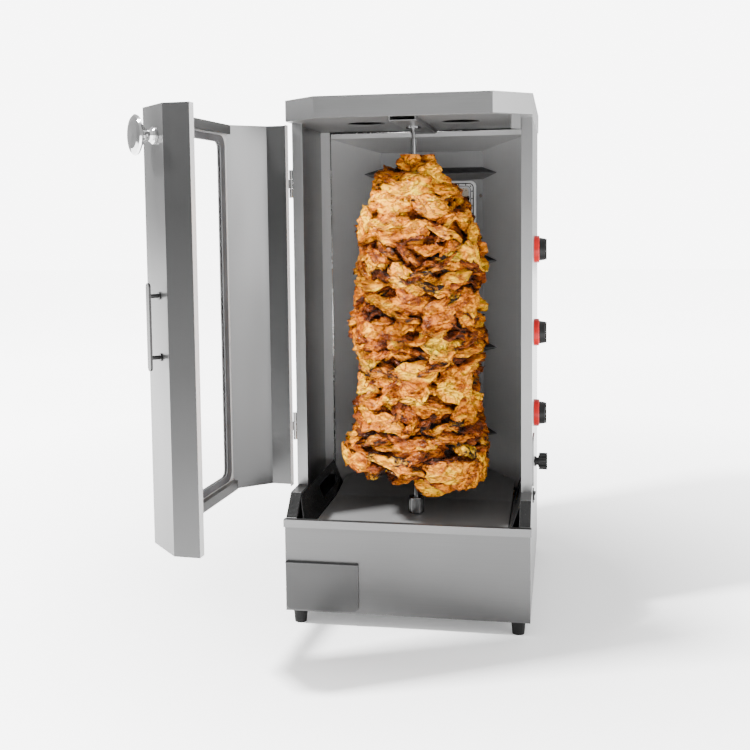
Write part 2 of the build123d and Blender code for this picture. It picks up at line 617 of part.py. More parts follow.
# Stacked meat: an uneven column pierced by the rod.
meat_rings = [
    (0.00, 78, 14, -4), (0.05, 118, 8, 2), (0.13, 130, 6, -3), (0.25, 133, 4, 3),
    (0.38, 124, 6, -2), (0.50, 127, 5, 2), (0.62, 122, 8, -2), (0.74, 119, 8, 3),
    (0.85, 113, 10, 0), (0.94, 92, 8, -2), (1.00, 52, 4, 0),
]
meat_h = MEAT_TOP - MEAT_LOW
meat_outline = [(0, MEAT_LOW)]
for t, r, dx, dy in meat_rings:
    meat_outline.append((r, MEAT_LOW + meat_h * t))
meat_outline.append((0, MEAT_TOP))
meat_face = Plane.XZ * Polygon(*meat_outline, align=None)
meat = revolve(meat_face, Axis.Z)
meat = Pos(0, F(SPIT_Y), 0) * meat
meat -= rod_z(0, F(SPIT_Y), MEAT_LOW - 1, MEAT_TOP + 1, ROD_R)
parts["meat_stack"] = meat

# ===========================================================================
# Top bearing, roof plate and canopy
# ===========================================================================
vent_r = 36.5
vent_x = 89.0
vent_y = 152.0
canopy_half = HALF + 2
centre_half = canopy_half - CHAMFER_X


def canopy_plan(inset):
    # The cut corner is moved in by the same distance as the straight sides.
    k = inset * 0.45
    return [(-canopy_half + inset, F(CANOPY_FRONT + CHAMFER_Y) + k), (-centre_half + k, F(CANOPY_FRONT) + inset),
            (centre_half - k, F(CANOPY_FRONT) + inset), (canopy_half - inset, F(CANOPY_FRONT + CHAMFER_Y) + k),
            (canopy_half - inset, F(DEPTH) - inset), (-canopy_half + inset, F(DEPTH) - inset)]


canopy = prism_z(canopy_plan(0), CANOPY_LOW, HEIGHT)
canopy -= prism_z(canopy_plan(SHEET), CANOPY_LOW - 1, HEIGHT - SHEET)
parts["canopy"] = canopy

plate = prism_z(canopy_plan(0.8), ROOF_PLATE_LOW, CANOPY_LOW)
for x in (-vent_x, vent_x):
    plate -= rod_z(x, F(vent_y), ROOF_PLATE_LOW - 1, CANOPY_LOW + 1, vent_r)
plate -= rod_z(0, F(SPIT_Y), ROOF_PLATE_LOW - 1, CANOPY_LOW + 1, 9)
parts["roof_plate"] = plate

chan_half = 23.5
chan_low = ROOF_PLATE_LOW - 8
channel = block(-chan_half, chan_half, F(8), F(FLANGE_Y - 4), chan_low, ROOF_PLATE_LOW)
channel -= block(-chan_half + SHEET, chan_half - SHEET, F(6), F(FLANGE_Y), chan_low + SHEET, ROOF_PLATE_LOW + 1)
channel -= rod_z(0, F(SPIT_Y), chan_low - 1, ROOF_PLATE_LOW, 9)
channel -= block(-5, 5, F(200), F(236), chan_low - 1, chan_low + SHEET + 1)
parts["top_channel"] = channel

bush = rod_z(0, F(SPIT_Y), chan_low - 3, CANOPY_LOW + 4, 9)
bush += rod_z(0, F(SPIT_Y), chan_low - 3, chan_low, 14)
bush -= rod_z(0, F(SPIT_Y), chan_low - 4, CANOPY_LOW + 5, PIN_R + RUN_FIT)
parts["top_bush"] = bush

# ===========================================================================
# Door, drawn shut and then swung open about the hinge pins
# ===========================================================================
swing = Pos(HINGE_X, F(HINGE_Y), 0) * Rot(0, 0, -DOOR_OPEN) * Pos(-HINGE_X, -F(HINGE_Y), 0)
door_flank_y = DOOR_FRONT_Y + DOOR_CUT_Y
door_centre = DOOR_HALF - DOOR_CUT_X


def door_plan(inset):
    k = inset * 0.45
    return [(-DOOR_HALF + inset, F(DOOR_REAR_Y + (1 if inset else 0))),
            (-DOOR_HALF + inset, F(door_flank_y) + k), (-door_centre + k, F(DOOR_FRONT_Y) + inset),
            (door_centre - k, F(DOOR_FRONT_Y) + inset), (DOOR_HALF - inset, F(door_flank_y) + k),
            (DOOR_HALF - inset, F(DOOR_REAR_Y + (1 if inset else 0)))]


pan = prism_z(door_plan(0), DOOR_LOW, DOOR_TOP)
pan -= prism_z(door_plan(THIN), DOOR_LOW - 1, DOOR_TOP + 1)
for side in (-1, 1):
    x0, x1 = side * (DOOR_HALF - LIP_W), side * DOOR_HALF
    pan += block(min(x0, x1), max(x0, x1), F(DOOR_REAR_Y - THIN), F(DOOR_REAR_Y), DOOR_LOW, DOOR_TOP)
win_half = door_centre - WINDOW_MARGIN
win_z0 = DOOR_LOW + WINDOW_MARGIN - 6
win_z1 = DOOR_TOP - WINDOW_MARGIN + 8
window = block(-win_half, win_half, F(DOOR_FRONT_Y - 5), F(DOOR_FRONT_Y + 5), win_z0, win_z1)
window = fillet(window.edges().filter_by(Axis.Y), 14)
pan -= window

nrm_run = hypot(DOOR_CUT_X, DOOR_CUT_Y)
nrm = Vector(DOOR_CUT_Y / nrm_run, -DOOR_CUT_X / nrm_run, 0)
facet_t = 0.62
facet_x = door_centre + facet_t * DOOR_CUT_X
facet_y = F(DOOR_FRONT_Y + facet_t * DOOR_CUT_Y)


def facet_plane(z):
    """Plane on the outer face of the free-side facet, facing outwards."""
    return Plane(origin=(facet_x, facet_y, z), x_dir=(0, 0, 1), z_dir=nrm)


def facet_rod(z, d0, d1, r):
    return facet_plane(z).offset((d0 + d1) / 2) * Cylinder(r, d1 - d0)


latch_r = 4.0
pan -= facet_rod(LATCH_Z, -4, 4, latch_r + RUN_FIT)
parts["door_pan"] = swing * pan

rails = []
rail_h = 17.0
for z in (DOOR_LOW + 1, DOOR_TOP - 1 - rail_h):
    rail = block(-door_centre + 3, door_centre - 3, F(DOOR_FRONT_Y + THIN), F(DOOR_FRONT_Y + THIN + 10),
                 z, z + rail_h)
    rails.append(swing * rail)
parts["door_rails"] = joined(rails)

glass_t = 4.0
gasket = block(-win_half - GASKET_W, win_half + GASKET_W, F(DOOR_FRONT_Y + THIN),
               F(DOOR_FRONT_Y + THIN + glass_t + 2), win_z0 - 12, win_z1 + 12)
gasket = fillet(gasket.edges().filter_by(Axis.Y), 20)
lens = block(-win_half - 8, win_half + 8, F(DOOR_FRONT_Y + THIN), F(DOOR_FRONT_Y + THIN + glass_t),
             win_z0 - 6, win_z1 + 6)
lens = fillet(lens.edges().filter_by(Axis.Y), 16)
sight = block(-win_half, win_half, F(DOOR_FRONT_Y - 5), F(DOOR_FRONT_Y + 15), win_z0, win_z1)
sight = fillet(sight.edges().filter_by(Axis.Y), 14)
parts["window_gasket"] = swing * (gasket - lens - sight)
parts["window_glass"] = swing * lens

strap_h = 134.0
strap_z = (HANDLE_Z[0] + HANDLE_Z[1]) / 2
strap_out = 16.0
strap_w = 13.0
strap_plane = facet_plane(strap_z).offset(strap_out)
strap = strap_plane * extrude(SlotOverall(strap_h, strap_w), 3.5)
for z in HANDLE_Z:
    strap += facet_rod(z, 0, strap_out + 1, 3.2)
    strap += facet_rod(z, 0, 2.0, 6.0)
parts["door_handle"] = swing * strap

# Trumpet-shaped latch knob: base, waisted neck and flared head on a shaft.
knob_profile = [(0, GAP), (13.0, GAP), (13.0, 4.5), (10.5, 7.0), (8.5, 11.0), (9.5, 15.0), (14.0, 20.0),
                (21.0, 25.0), (29.5, 29.0), (30.5, 31.5), (28.0, 34.0), (20.0, 36.0), (0, 37.0)]
knob_face = Plane.XZ * Polygon(*knob_profile, align=None)
latch_head = revolve(knob_face, Axis.Z)
latch = facet_plane(LATCH_Z) * latch_head
latch += facet_rod(LATCH_Z, -18, 4, latch_r)
cam = facet_plane(LATCH_Z).offset(-18) * extrude(
    Pos(0, 15) * SlotOverall(44, 12, rotation=90), 3)
latch += cam
parts["latch_knob"] = swing * latch
# Keeper under the roof plate: the cam turns up behind it.
keep_low = LATCH_Z + 25
keep_at = Vector(facet_x, facet_y, (keep_low + ROOF_PLATE_LOW) / 2) - nrm * 11
keeper = Plane(origin=keep_at, x_dir=(DOOR_CUT_X / nrm_run, DOOR_CUT_Y / nrm_run, 0), z_dir=nrm)
parts["latch_keeper"] = keeper * Box(22, ROOF_PLATE_LOW - keep_low, 2.5)

# Hinges
frame_leaves = []
door_leaves = []
third = HINGE_H / 3
for z in HINGE_Z:
    z0, z1 = z - HINGE_H / 2, z + HINGE_H / 2
    for a, b in ((z0, z0 + third - 0.2), (z1 - third + 0.2, z1)):
        knuckle = rod_z(HINGE_X, F(HINGE_Y), a, b, HINGE_R)
        leaf = block(-HALF - THIN, -HALF, F(HINGE_Y), F(HINGE_Y + 22), a, b)
        knuckle += leaf
        frame_leaves.append((z, knuckle))
fixed = []
for z in HINGE_Z:
    z0, z1 = z - HINGE_H / 2, z + HINGE_H / 2
    leaf = block(-HALF - THIN, -HALF, F(HINGE_Y + 4), F(HINGE_Y + 22), z0, z1)
    for zz, knuckle in frame_leaves:
        if zz == z:
            leaf += knuckle
    leaf += rod_z(HINGE_X, F(HINGE_Y), z0, z1, HINGE_PIN_R)
    fixed.append(leaf)
    k0, k1 = z0 + third + 0.2, z1 - third - 0.2
    moving = rod_z(HINGE_X, F(HINGE_Y), k0, k1, HINGE_R)
    moving += block(-DOOR_HALF - THIN, -DOOR_HALF, F(HINGE_Y - 26), F(HINGE_Y), k0, k1)
    moving += block(-DOOR_HALF - THIN, -DOOR_HALF, F(HINGE_Y - 26), F(HINGE_Y - 4.5), z0, z1)
    moving -= rod_z(HINGE_X, F(HINGE_Y), z0 - 1, z1 + 1, HINGE_PIN_R + RUN_FIT)
    door_leaves.append(swing * moving)
parts["hinge_frame_leaves"] = joined(fixed)
parts["hinge_door_leaves"] = joined(door_leaves)

# ===========================================================================
# Crumb drawer
# ===========================================================================
dx0, dx1 = DRAWER_X0, DRAWER_X0 + DRAWER_W
front = block(dx0, dx1, F(-3.0), F(-0.6), DRAWER_Z0, DRAWER_Z1 - 2)
front = fillet(front.edges().filter_by(Axis.Y).sort_by(Axis.Z)[0:2], 10)
front += block(dx0, dx1, F(-9.0), F(-0.6), DRAWER_Z1 - 4, DRAWER_Z1 - 2)
parts["drawer_front"] = front

bx0, bx1 = hole_x0 + 1.5, hole_x1 - 1.5
bz0, bz1 = hole_z0 + 1.5, hole_z1 - 2.0
tub = block(bx0, bx1, F(-0.6), F(DRAWER_LEN), bz0, bz1)
tub -= block(bx0 + THIN, bx1 - THIN, F(0.8), F(DRAWER_LEN - THIN), bz0 + THIN, bz1 + 1)
parts["drawer_tub"] = tub

# Pressed ribs in the bottom plate carry the tub.
rib_top = bz0 - 0.6
floor_plate = parts["base_bottom_plate"]
for x in (bx0 + 12, bx1 - 12):
    floor_plate += block(x - 4, x + 4, F(SHEET), F(DRAWER_LEN + 10), FOOT_H + SHEET, rib_top)
parts["base_bottom_plate"] = floor_plate

# ===========================================================================
os.makedirs("parts", exist_ok=True)
for name, shape in parts.items():
    shape.label = name
    export_step(shape, "parts/%s.step" % name)
print(len(parts), "nodes written")
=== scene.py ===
import math
import random
import bpy
from mathutils import Matrix, Vector, noise


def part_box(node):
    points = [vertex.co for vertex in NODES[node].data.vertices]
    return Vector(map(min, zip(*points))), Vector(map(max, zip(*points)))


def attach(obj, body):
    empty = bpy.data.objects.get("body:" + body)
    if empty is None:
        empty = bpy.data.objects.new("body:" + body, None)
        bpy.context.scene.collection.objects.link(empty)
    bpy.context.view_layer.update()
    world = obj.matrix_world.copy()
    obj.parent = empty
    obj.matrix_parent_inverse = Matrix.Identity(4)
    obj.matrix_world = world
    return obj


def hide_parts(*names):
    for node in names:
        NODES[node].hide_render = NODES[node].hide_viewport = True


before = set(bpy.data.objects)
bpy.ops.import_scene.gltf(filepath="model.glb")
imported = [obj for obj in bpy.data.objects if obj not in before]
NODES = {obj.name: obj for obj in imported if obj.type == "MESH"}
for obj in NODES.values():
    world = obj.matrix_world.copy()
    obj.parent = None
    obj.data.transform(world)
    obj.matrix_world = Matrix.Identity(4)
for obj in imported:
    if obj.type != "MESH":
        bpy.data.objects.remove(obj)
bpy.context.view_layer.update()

# Brushed grain: fine across the sheet, long along one axis.
GRAIN_FINE = 260
GRAIN_LONG = 2
GRAIN_DEPTH = 0.0003

# ---------------------------------------------------------------------------
# Node material helpers
# ---------------------------------------------------------------------------


def new_material(name):
    mat = bpy.data.materials.new(name)
    mat.use_nodes = True
    tree = mat.node_tree
    tree.nodes.clear()
    out = tree.nodes.new("ShaderNodeOutputMaterial")
    bsdf = tree.nodes.new("ShaderNodeBsdfPrincipled")
    tree.links.new(bsdf.outputs[0], out.inputs[0])
    return mat, tree, bsdf


def coords(tree, scale=(1, 1, 1)):
    tc = tree.nodes.new("ShaderNodeTexCoord")
    mp = tree.nodes.new("ShaderNodeMapping")
    mp.inputs["Scale"].default_value = scale
    tree.links.new(tc.outputs["Object"], mp.inputs["Vector"])
    return mp.outputs["Vector"]


def noise_tex(tree, vec, scale, detail=4.0, rough=0.55, dist=0.0):
    n = tree.nodes.new("ShaderNodeTexNoise")
    n.inputs["Scale"].default_value = scale
    n.inputs["Detail"].default_value = detail
    n.inputs["Roughness"].default_value = rough
    n.inputs["Distortion"].default_value = dist
    tree.links.new(vec, n.inputs["Vector"])
    return n.outputs["Fac"]


def ramp(tree, fac, stops):
    """A colour ramp: stops are (position, colour) pairs."""
    r = tree.nodes.new("ShaderNodeValToRGB")
    els = r.color_ramp.elements
    while len(els) > 1:
        els.remove(els[-1])
    els[0].position, els[0].color = stops[0][0], tuple(stops[0][1]) + (1,)
    for pos, col in stops[1:]:
        e = els.new(pos)
        e.color = tuple(col) + (1,)
    tree.links.new(fac, r.inputs["Fac"])
    return r.outputs["Color"]


def grey(v):
    return (v, v, v)


def math_node(tree, op, a, b):
    m = tree.nodes.new("ShaderNodeMath")
    m.operation = op
    for sock, val in zip(m.inputs, (a, b)):
        if isinstance(val, (int, float)):
            sock.default_value = val
        else:
            tree.links.new(val, sock)
    return m.outputs[0]


def mix_rgb(tree, fac, a, b, mode="MIX"):
    m = tree.nodes.new("ShaderNodeMix")
    m.data_type = "RGBA"
    m.blend_type = mode
    for sock, val in ((m.inputs[0], fac), (m.inputs[6], a), (m.inputs[7], b)):
        if isinstance(val, (int, float)):
            sock.default_value = val
        elif isinstance(val, tuple):
            sock.default_value = val + (1,) if len(val) == 3 else val
        else:
            tree.links.new(val, sock)
    return m.outputs[2]


def bump(tree, bsdf, height, strength, dist):
    b = tree.nodes.new("ShaderNodeBump")
    b.inputs["Strength"].default_value = strength
    b.inputs["Distance"].default_value = dist
    tree.links.new(height, b.inputs["Height"])
    tree.links.new(b.outputs["Normal"], bsdf.inputs["Normal"])


def paint_facet_shading(tree, tone, facet_shading):
    """Painted light and shade: multiplies a tone where a face points along one axis of its own object."""
    if not facet_shading:
        return tone
    tc = tree.nodes.new("ShaderNodeTexCoord")
    nrm = tree.nodes.new("ShaderNodeSeparateXYZ")
    tree.links.new(tc.outputs["Normal"], nrm.inputs[0])
    for axis, sign, low, high, factor in facet_shading:
        part = ramp(tree, math_node(tree, "MULTIPLY", nrm.outputs[axis], sign),
                    [(low, grey(0.0)), (high, grey(1.0))])
        scale = mix_rgb(tree, part, (1.0, 1.0, 1.0), grey(factor))
        tone = mix_rgb(tree, 1.0, tone, scale, "MULTIPLY")
    return tone


def steel(name, tone=0.6, rough=0.3, grain="x", metal=1.0, spread=0.03, facet_shading=(), scratch=1.0):
    """Brushed stainless sheet: long grain along one axis, faint smudges."""
    mat, tree, bsdf = new_material(name)
    long = tuple(GRAIN_LONG if axis == grain else GRAIN_FINE for axis in "xyz")
    grain_f = noise_tex(tree, coords(tree, long), 3.0, 5.0, 0.7)
    smudge = noise_tex(tree, coords(tree), 5.5, 3.0, 0.5, 0.4)
    base = ramp(tree, grain_f, [(0.25, grey(tone - spread)), (0.75, grey(tone + spread))])
    blot = ramp(tree, smudge, [(0.3, grey(0.94)), (0.7, grey(1.0))])
    # Faces turned along the listed axes get painted light and shade.
    base = paint_facet_shading(tree, mix_rgb(tree, 1.0, base, blot, "MULTIPLY"), facet_shading)
    tree.links.new(base, bsdf.inputs["Base Color"])
    bsdf.inputs["Metallic"].default_value = metal
    rg = ramp(tree, grain_f, [(0.2, grey(rough - 0.05 * scratch)), (0.8, grey(rough + 0.07 * scratch))])
    tree.links.new(rg, bsdf.inputs["Roughness"])
    bump(tree, bsdf, grain_f, 0.05 * scratch, GRAIN_DEPTH)
    return mat


def bright_metal(name, tone, rough=0.1, tint=(1.0, 1.0, 1.0)):
    """Polished metal with fine scuffs."""
    mat, tree, bsdf = new_material(name)
    scuff = noise_tex(tree, coords(tree), 60.0, 4.0)
    worn = tuple(tone * 0.86 * c for c in tint)
    clean = tuple(tone * c for c in tint)
    tree.links.new(ramp(tree, scuff, [(0.3, worn), (0.7, clean)]), bsdf.inputs["Base Color"])
    bsdf.inputs["Metallic"].default_value = 1.0
    polish = ramp(tree, scuff, [(0.3, grey(rough)), (0.7, grey(rough + 0.08))])
    tree.links.new(polish, bsdf.inputs["Roughness"])
    return mat


def door_steel():
    """Brushed sheet with painted light and shade: its flanks are painted darker than its faces, darkest at
    the top; the faces are painted lighter higher up, and the lip gets a painted highlight.
    """
    mat, tree, bsdf = new_material("door_steel")
    grain_f = noise_tex(tree, coords(tree, (GRAIN_FINE, GRAIN_FINE, GRAIN_LONG)), 3.0, 5.0, 0.7)
    tc = tree.nodes.new("ShaderNodeTexCoord")
    nrm = tree.nodes.new("ShaderNodeSeparateXYZ")
    tree.links.new(tc.outputs["Normal"], nrm.inputs[0])
    pos = tree.nodes.new("ShaderNodeSeparateXYZ")
    tree.links.new(tc.outputs["Object"], pos.inputs[0])
    # Painted shade: faces turned to the front take the darker flank tone set below.
    flank_shade_mask = ramp(tree, math_node(tree, "MULTIPLY", nrm.outputs[1], -1.0),
                 [(0.86, grey(0.0)), (0.95, grey(1.0))])
    cloud = noise_tex(tree, coords(tree, (4, 4, 1.1)), 1.6, 2.0, 0.45)
    facet = ramp(tree, cloud, [(0.30, grey(0.085)), (0.50, grey(0.115)), (0.72, grey(0.17))])
    # Painted light: the faces are made lighter towards the top.
    painted_rise_light = ramp(tree, pos.outputs[2], [(0.24, grey(0.55)), (0.60, grey(0.85)), (0.92, grey(1.5))])
    facet = mix_rgb(tree, 1.0, facet, painted_rise_light, "MULTIPLY")
    # Painted highlight: faces turned to the right become a pale strip, also less metallic.
    lip_highlight_mask = ramp(tree, nrm.outputs[0], [(0.90, grey(0.0)), (0.97, grey(1.0))])
    facet = mix_rgb(tree, lip_highlight_mask, facet, (0.55, 0.55, 0.55))
    height = math_node(tree, "ADD", pos.outputs[2], math_node(tree, "MULTIPLY", cloud, 0.10))
    # The flank tone is painted shade that changes with height.
    edge = ramp(tree, height, [(0.28, grey(0.060)), (0.45, grey(0.034)), (0.56, grey(0.026)),
                               (0.80, grey(0.028)), (0.98, grey(0.055))])
    tone = mix_rgb(tree, flank_shade_mask, facet, edge)
    fine = ramp(tree, grain_f, [(0.25, grey(0.96)), (0.75, grey(1.0))])
    tree.links.new(mix_rgb(tree, 1.0, tone, fine, "MULTIPLY"), bsdf.inputs["Base Color"])
    tree.links.new(ramp(tree, lip_highlight_mask, [(0.0, grey(0.85)), (1.0, grey(0.25))]), bsdf.inputs["Metallic"])
    tree.links.new(ramp(tree, grain_f, [(0.2, grey(0.28)), (0.8, grey(0.34))]), bsdf.inputs["Roughness"])
    bump(tree, bsdf, grain_f, 0.05, GRAIN_DEPTH)
    return mat


PLASTIC_VARY = 0.25


def plastic(name, colour, rough, speck, coat=0.0):
    """Moulded or painted surface with a fine texture and faint wear."""
    mat, tree, bsdf = new_material(name)
    n = noise_tex(tree, coords(tree), speck, 4.0)
    wear = noise_tex(tree, coords(tree), 14.0, 3.0)
    lo = tuple(c * (1 - PLASTIC_VARY) for c in colour)
    hi = tuple(min(1.0, c * (1 + PLASTIC_VARY) + 0.004) for c in colour)
    tree.links.new(ramp(tree, wear, [(0.3, lo), (0.7, hi)]), bsdf.inputs["Base Color"])
    tree.links.new(ramp(tree, n, [(0.3, grey(rough - 0.06)), (0.7, grey(rough + 0.08))]),
                   bsdf.inputs["Roughness"])
    bsdf.inputs["Coat Weight"].default_value = coat
    bsdf.inputs["Specular IOR Level"].default_value = 0.18
    bump(tree, bsdf, n, 0.15, 0.0002)
    return mat


def glass_material():
    """Clear pane: nearly see-through face on, more reflective at a slant."""
    mat, tree, bsdf = new_material("window_glass")
    smear = noise_tex(tree, coords(tree, (3, 3, 1)), 6.0, 4.0, 0.6, 0.8)
    lw = tree.nodes.new("ShaderNodeLayerWeight")
    lw.inputs["Blend"].default_value = 0.35
    solid = ramp(tree, lw.outputs["Facing"], [(0.0, grey(0.03)), (0.6, grey(0.07)), (1.0, grey(0.50))])
    streak = ramp(tree, smear, [(0.3, grey(0.75)), (0.7, grey(1.0))])
    tree.links.new(mix_rgb(tree, 1.0, solid, streak, "MULTIPLY"), bsdf.inputs["Alpha"])
    tree.links.new(ramp(tree, smear, [(0.3, (0.015, 0.020, 0.018)), (0.7, (0.030, 0.038, 0.034))]),
                   bsdf.inputs["Base Color"])
    tree.links.new(ramp(tree, smear, [(0.35, grey(0.03)), (0.75, grey(0.07))]), bsdf.inputs["Roughness"])
    bsdf.inputs["Specular IOR Level"].default_value = 0.6
    return mat


def ceramic_material():
    """Burner tile with a field of small flame holes, painted dark as the shade inside them."""
    mat, tree, bsdf = new_material("tile_ceramic")
    v = tree.nodes.new("ShaderNodeTexVoronoi")
    v.inputs["Scale"].default_value = 260.0
    tree.links.new(coords(tree), v.inputs["Vector"])
    n = noise_tex(tree, coords(tree), 20.0)
    hole_shade = ramp(tree, v.outputs["Distance"], [(0.18, (0.10, 0.08, 0.06)), (0.34, (0.62, 0.56, 0.47))])
    tint = ramp(tree, n, [(0.3, (0.85, 0.8, 0.75)), (0.7, (1, 1, 1))])
    tree.links.new(mix_rgb(tree, 1.0, hole_shade, tint, "MULTIPLY"), bsdf.inputs["Base Color"])
    bsdf.inputs["Roughness"].default_value = 0.85
    bump(tree, bsdf, v.outputs["Distance"], 0.5, 0.001)
    return mat


def dress(node, mat):
    ob = NODES[node]
    ob.data.materials.clear()
    ob.data.materials.append(mat)


STEEL_X = steel("steel_x", 0.085, 0.30, "x", metal=0.85, spread=0.005, scratch=0.5)
# Painted light: the rim is brushed steel at a lighter tone than the front panel, which sets it apart from
# the panel.
RIM = steel("rim_steel", 0.115, 0.30, "x", metal=0.85, spread=0.01)
STEEL_Z = steel("steel_z", 0.155, 0.30, "z", metal=0.85, spread=0.01)
STEEL_Y = steel("steel_y", 0.150, 0.32, "y", metal=0.85, spread=0.01)
DARK_Z = steel("steel_inner", 0.36, 0.42, "z", metal=0.25, spread=0.012)
BURNER_WALL = steel("steel_burner_wall", 0.17, 0.40, "z", metal=0.2, spread=0.01)
# Painted light: divider faces turned downwards are made 4.5 times lighter.
DIVIDER = steel("steel_divider", 0.035, 0.40, "x", metal=0.4, spread=0.006,
                facet_shading=((2, -1.0, 0.35, 0.60, 4.5),))
TRAY = steel("tray_steel", 0.21, 0.42, "x", metal=0.25, spread=0.015)
ROOF = steel("roof_steel", 0.10, 0.38, "x", metal=0.3, spread=0.008)
# Painted light and shade: canopy faces turned right are made 2.6 times lighter, faces turned left 1.35
# times lighter, and faces turned down half as light.
CANOPY = steel("canopy_steel", 0.105, 0.36, "x", metal=0.85, spread=0.008,
               facet_shading=((0, 1.0, 0.45, 0.60, 2.6), (0, -1.0, 0.45, 0.60, 1.35), (2, -1.0, 0.60, 0.90, 0.5)))
BRIGHT = bright_metal("bright_steel", 0.20, 0.09)
FRAME_STEEL = steel("burner_frame_steel", 0.85, 0.22, "z", metal=0.35, spread=0.05)
CHROME = bright_metal("chrome", 0.58, 0.06)
HANDLE = steel("handle_steel", 0.020, 0.28, "z", metal=0.6, spread=0.003)
DOOR = door_steel()
HEM = bright_metal("hem_steel", 0.95, 0.22)
DRAWER = steel("drawer_steel", 0.052, 0.30, "x", metal=0.85, spread=0.002, scratch=0.1)
BLACK_GLOSS = plastic("black_enamel", (0.006, 0.006, 0.006), 0.22, 180, coat=0.15)
BLACK = plastic("black_plastic", (0.005, 0.005, 0.005), 0.38, 420)
RUBBER = plastic("rubber", (0.006, 0.006, 0.006), 0.6, 500)
GASKET = plastic("gasket_grey", (0.05, 0.05, 0.052), 0.6, 500)
RED = plastic("red_plastic", (0.42, 0.006, 0.006), 0.3, 300, coat=0.1)
BRASS = bright_metal("brass", 0.50, 0.26, tint=(1.0, 0.66, 0.24))
MOTOR = plastic("motor_paint", (0.12, 0.12, 0.13), 0.45, 200)
CERAMIC = ceramic_material()
GLASS = glass_material()

LOOK = {
    "base_front_panel": STEEL_X, "base_bottom_plate": STEEL_Y, "base_rim": RIM,
    "side_wall_left": STEEL_Z, "side_wall_right": STEEL_Z, "side_rails": STEEL_Y,
    "rail_nose_pads": BLACK_GLOSS, "splash_guards": BLACK_GLOSS, "drip_tray": TRAY,
    "shaft_seal": RUBBER, "burner_box_flanges": DARK_Z, "reflector_left": DARK_Z,
    "reflector_right": DARK_Z, "reflector_back": BURNER_WALL, "burner_box_roof": DARK_Z,
    "burner_dividers": DIVIDER, "burner_frames": FRAME_STEEL, "burner_tiles": CERAMIC,
    "burner_mixing_boxes": DARK_Z, "burner_screws": BRIGHT, "control_liner": DARK_Z,
    "gas_taps": BRASS, "burner_feed_pipes": BRASS, "gas_manifold": STEEL_Z,
    "gas_inlet_nipple": BRASS, "knob_bezels": RED, "side_hatch": STEEL_Z,
    "star_knob": BLACK, "rocker_switch_body": BLACK, "switch_rocker": BLACK,
    "cable_gland": BLACK, "back_panel": STEEL_Z, "back_panel_screws": BRIGHT,
    "motor_bracket": STEEL_Y, "gear_motor": MOTOR, "drive_cup": BRIGHT, "spit_rod": BRIGHT,
    "canopy": CANOPY, "roof_plate": ROOF, "top_channel": STEEL_Y, "top_bush": BRIGHT,
    "door_pan": DOOR, "door_rails": STEEL_Y, "window_gasket": GASKET, "window_glass": GLASS,
    "door_handle": HANDLE, "latch_knob": CHROME, "latch_keeper": STEEL_Z,
    "hinge_frame_leaves": BRIGHT, "hinge_door_leaves": BRIGHT, "drawer_front": DRAWER,
    "drawer_tub": STEEL_Y, "feet": RUBBER,
}
for i in (1, 2, 3):
    LOOK["tap_plug_%d" % i] = BRASS
    LOOK["gas_knob_%d" % i] = BLACK
for node, mat in LOOK.items():
    dress(node, mat)

# ---------------------------------------------------------------------------
# Roast: stacked slices round the spit, as one mesh
# ---------------------------------------------------------------------------
spit_lo, spit_hi = (Vector(c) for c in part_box("spit_rod"))
SPIT_X = (spit_lo.x + spit_hi.x) / 2
SPIT_Y = (spit_lo.y + spit_hi.y) / 2
meat_lo, meat_hi = (Vector(c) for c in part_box("meat_stack"))
MEAT_Z0, MEAT_Z1 = meat_lo.z, meat_hi.z
MEAT_H = MEAT_Z1 - MEAT_Z0
SIDE_TURN = math.radians(7.7)
# The turning roast stays clear of the pane of the shut door.
REACH_SOFT = 0.134
REACH_MAX = 0.1455
SLICE_ROWS = 54
SLICE_PITCH = 0.078
SLICE_AROUND, SLICE_UP = 30, 13
CORE_AROUND, CORE_UP = 72, 110
CORE_INSET = 0.022
SPIT_CLEAR = 0.012
TOP_SHARE = 0.85

# Height share, radius on the left and on the right, in millimetres.
PROFILE = [
    (0.000, 14, 20), (0.018, 34, 66), (0.034, 66, 116), (0.050, 96, 134), (0.066, 122, 143),
    (0.084, 142, 146), (0.098, 153, 146), (0.114, 147, 143), (0.138, 126, 138), (0.175, 116, 135),
    (0.230, 112, 130), (0.300, 110, 126), (0.370, 107, 124), (0.420, 112, 127), (0.475, 118, 132),
    (0.510, 118, 134), (0.550, 116, 129), (0.610, 112, 122), (0.650, 108, 127), (0.690, 105, 131),
    (0.730, 101, 134), (0.765, 104, 122), (0.795, 107, 114), (0.815, 101, 108), (0.845, 92, 103),
    (0.880, 84, 95), (0.915, 75, 80), (0.950, 66, 66), (0.975, 52, 46), (1.000, 26, 22),
]


def profile(t):
    """Left and right radius at a share of the height, eased between the rows above."""
    t = min(1.0, max(0.0, t))
    for (t0, l0, r0), (t1, l1, r1) in zip(PROFILE, PROFILE[1:]):
        if t <= t1:
            k = (t - t0) / (t1 - t0)
            k = k * k * (3 - 2 * k)
            return l0 + (l1 - l0) * k, r0 + (r1 - r0) * k
    return PROFILE[-1][1], PROFILE[-1][2]


def meat_radius(theta, t):
    left, right_r = profile(t)
    c = math.cos(theta - SIDE_TURN)
    return ((left + right_r) / 2 + (right_r - left) / 2 * c) / 1000.0


def meat_height(theta, t):
    """The lower end hangs unevenly: lowest at the right lobe, higher elsewhere."""
    lobe = max(0.0, math.cos(theta - math.radians(-32))) ** 3
    lift = 0.046 - 0.030 * lobe
    return t + lift * max(0.0, 1 - t / 0.30) ** 2


def add_grid(faces, base, around, up):
    """Quads between rings of points."""
    for j in range(up):
        for i in range(around):
            a = base + j * around + i
            b = base + j * around + (i + 1) % around
            faces.append((a, b, b + around, a + around))


def roast_mesh(name, verts, faces, tones, char_and_shade_values):
    me = bpy.data.meshes.new(name)
    me.from_pydata(verts, [], faces)
    for label, vals in (("tone", tones), ("char_and_shade", char_and_shade_values)):
        att = me.attributes.new(label, "FLOAT", "POINT")
        att.data.foreach_set("value", vals)
    return me


